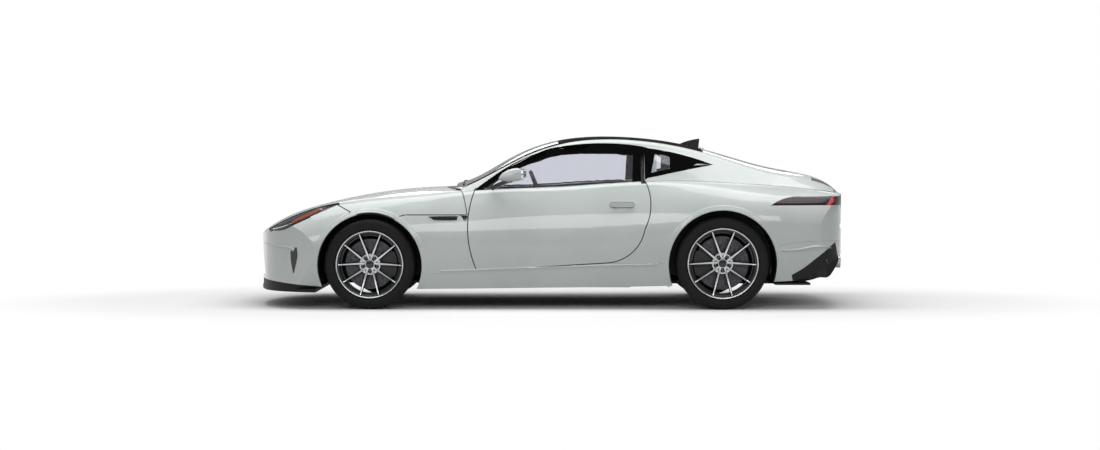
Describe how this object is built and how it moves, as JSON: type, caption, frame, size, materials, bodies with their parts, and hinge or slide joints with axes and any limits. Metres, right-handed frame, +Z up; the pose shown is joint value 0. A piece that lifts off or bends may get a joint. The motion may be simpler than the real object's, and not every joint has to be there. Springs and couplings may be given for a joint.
{
  "type": "two-door coupe car",
  "caption": "Two-door coupe car with turning wheels, linked steering, opening doors, front-hinged bonnet and rear tailgate.",
  "frame": {"origin": "on the ground, below the middle of the car's length, on its centre plane", "axes": "-X towards the nose, -Y towards the car's left side, +Z up"},
  "size_m": [4.48, 2.08, 1.2954],
  "materials": {
    "body_paint": "gloss white paint with a faint green-grey tint, clear coat",
    "gloss_black": "gloss black panel",
    "satin_black": "satin black moulded plastic",
    "glass": "tinted laminated glass",
    "lamp_dark": "dark polycarbonate lamp lens",
    "tail_red": "dark red lamp lens",
    "rim_alloy": "machined and dark painted cast aluminium",
    "tyre_rubber": "tyre rubber",
    "disc_iron": "machined cast iron",
    "chassis_black": "e-coated steel",
    "engine_alloy": "cast aluminium",
    "leather": "dark leather",
    "trim_dark": "soft-touch dark trim",
    "exhaust_steel": "stainless steel"
  },
  "bodies": {
    "root": {"front_bumper": "body_paint", "grille": "satin_black", "splitter": "satin_black", "cowl": "satin_black", "windscreen": "glass", "roof_panel": "gloss_black", "cabin_frame": "body_paint", "rear_bumper": "body_paint", "diffuser": "satin_black", "exhaust": "exhaust_steel", "antenna_fin": "gloss_black", "floor_pan": "chassis_black", "firewall": "chassis_black", "wheel_liners": "satin_black", "dashboard": "trim_dark", "seats": "leather", "engine_block": "engine_alloy", "front_suspension": "chassis_black", "rear_suspension": "chassis_black", "headlamp_left": "lamp_dark", "fender_left": "body_paint", "sill_left": "body_paint", "quarter_panel_left": "body_paint", "quarter_glass_left": "glass", "tail_lamp_left": "tail_red", "headlamp_right": "lamp_dark", "fender_right": "body_paint", "sill_right": "body_paint", "quarter_panel_right": "body_paint", "quarter_glass_right": "glass", "tail_lamp_right": "tail_red"},
    "bonnet": {"bonnet": "body_paint"},
    "tailgate": {"tailgate": "body_paint", "backlight": "glass"},
    "steering_wheel": {"steering_wheel": "leather"},
    "door_left": {"door_left": "body_paint", "door_glass_left": "glass", "mirror_left": "body_paint"},
    "knuckle_left": {"knuckle_left": "chassis_black"},
    "wheel_front_left": {"tyre_front_left": "tyre_rubber", "rim_front_left": "rim_alloy", "disc_front_left": "disc_iron"},
    "wheel_rear_left": {"tyre_rear_left": "tyre_rubber", "rim_rear_left": "rim_alloy", "disc_rear_left": "disc_iron"},
    "door_right": {"door_right": "body_paint", "door_glass_right": "glass", "mirror_right": "body_paint"},
    "knuckle_right": {"knuckle_right": "chassis_black"},
    "wheel_front_right": {"tyre_front_right": "tyre_rubber", "rim_front_right": "rim_alloy", "disc_front_right": "disc_iron"},
    "wheel_rear_right": {"tyre_rear_right": "tyre_rubber", "rim_rear_right": "rim_alloy", "disc_rear_right": "disc_iron"}
  },
  "joints": [
    {"name": "bonnet_hinge", "type": "hinge", "parent": "root", "child": "bonnet", "pos_m": [-2.186, 0, 0.562], "axis": [0, -1, 0], "range_deg": [0, 25]},
    {"name": "tailgate_hinge", "type": "hinge", "parent": "root", "child": "tailgate", "pos_m": [1.1685, 0, 1.204], "axis": [0, -1, 0], "range_deg": [0, 70]},
    {"name": "door_left_hinge", "type": "hinge", "parent": "root", "child": "door_left", "pos_m": [-0.495, -0.892, 0.475], "axis": [0, 0, -1], "range_deg": [0, 65]},
    {"name": "door_right_hinge", "type": "hinge", "parent": "root", "child": "door_right", "pos_m": [-0.495, 0.892, 0.475], "axis": [0, 0, 1], "range_deg": [0, 65]},
    {"name": "steer_left", "type": "hinge", "parent": "root", "child": "knuckle_left", "pos_m": [-1.34, -0.735, 0.335], "axis": [0, 0, 1], "range_deg": [-33, 33]},
    {"name": "steer_right", "type": "hinge", "parent": "root", "child": "knuckle_right", "pos_m": [-1.34, 0.735, 0.335], "axis": [0, 0, 1], "range_deg": [-33, 33]},
    {"name": "steering_wheel_turn", "type": "hinge", "parent": "root", "child": "steering_wheel", "pos_m": [-0.085, -0.37, 0.862], "axis": [-0.9272, 0, -0.3746], "range_deg": [-462, 462]},
    {"name": "wheel_front_left_spin", "type": "hinge", "parent": "knuckle_left", "child": "wheel_front_left", "pos_m": [-1.34, -0.788, 0.335], "axis": [0, 1, 0], "continuous": true},
    {"name": "wheel_rear_left_spin", "type": "hinge", "parent": "root", "child": "wheel_rear_left", "pos_m": [1.282, -0.806, 0.343], "axis": [0, 1, 0], "continuous": true},
    {"name": "wheel_front_right_spin", "type": "hinge", "parent": "knuckle_right", "child": "wheel_front_right", "pos_m": [-1.34, 0.788, 0.335], "axis": [0, 1, 0], "continuous": true},
    {"name": "wheel_rear_right_spin", "type": "hinge", "parent": "root", "child": "wheel_rear_right", "pos_m": [1.282, 0.806, 0.343], "axis": [0, 1, 0], "continuous": true}
  ],
  "couplings": [
    {"joint": "steer_right", "follows": "steer_left", "ratio": 1},
    {"joint": "steering_wheel_turn", "follows": "steer_left", "ratio": -14}
  ]
}
